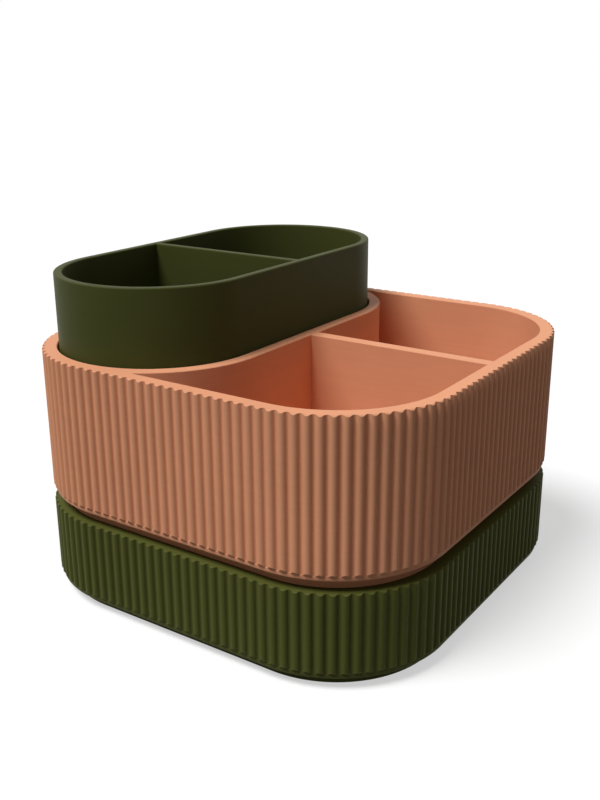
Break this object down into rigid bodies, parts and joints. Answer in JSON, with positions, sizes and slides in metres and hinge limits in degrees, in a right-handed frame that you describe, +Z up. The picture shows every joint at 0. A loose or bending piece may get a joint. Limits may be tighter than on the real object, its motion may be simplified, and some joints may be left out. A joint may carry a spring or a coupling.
{
  "type": "makeup stand",
  "caption": "Stacking make-up stand: a low ribbed tray under a deeper divided ribbed tray, with a tall round-ended lift-out tub.",
  "frame": {"origin": "middle of the flat underside of the lower tray", "axes": "+Z up out of the trays, +Y to the back, -X towards the side with the tub"},
  "size_m": [0.18, 0.18, 0.133],
  "materials": {
    "green_plastic": "matte olive green plastic with fine level layer lines",
    "terracotta_plastic": "matte terracotta plastic with fine level layer lines"
  },
  "bodies": {
    "base_tray": {"base_tray": "green_plastic"},
    "divided_tray": {"divided_tray": "terracotta_plastic"},
    "tub": {"tub": "green_plastic"}
  },
  "joints": [
    {"name": "tray_lift", "type": "slide", "parent": "base_tray", "child": "divided_tray", "axis": [0, 0, 1], "range_m": [0, 0.08]},
    {"name": "tub_lift", "type": "slide", "parent": "divided_tray", "child": "tub", "axis": [0, 0, 1], "range_m": [0, 0.1]}
  ]
}
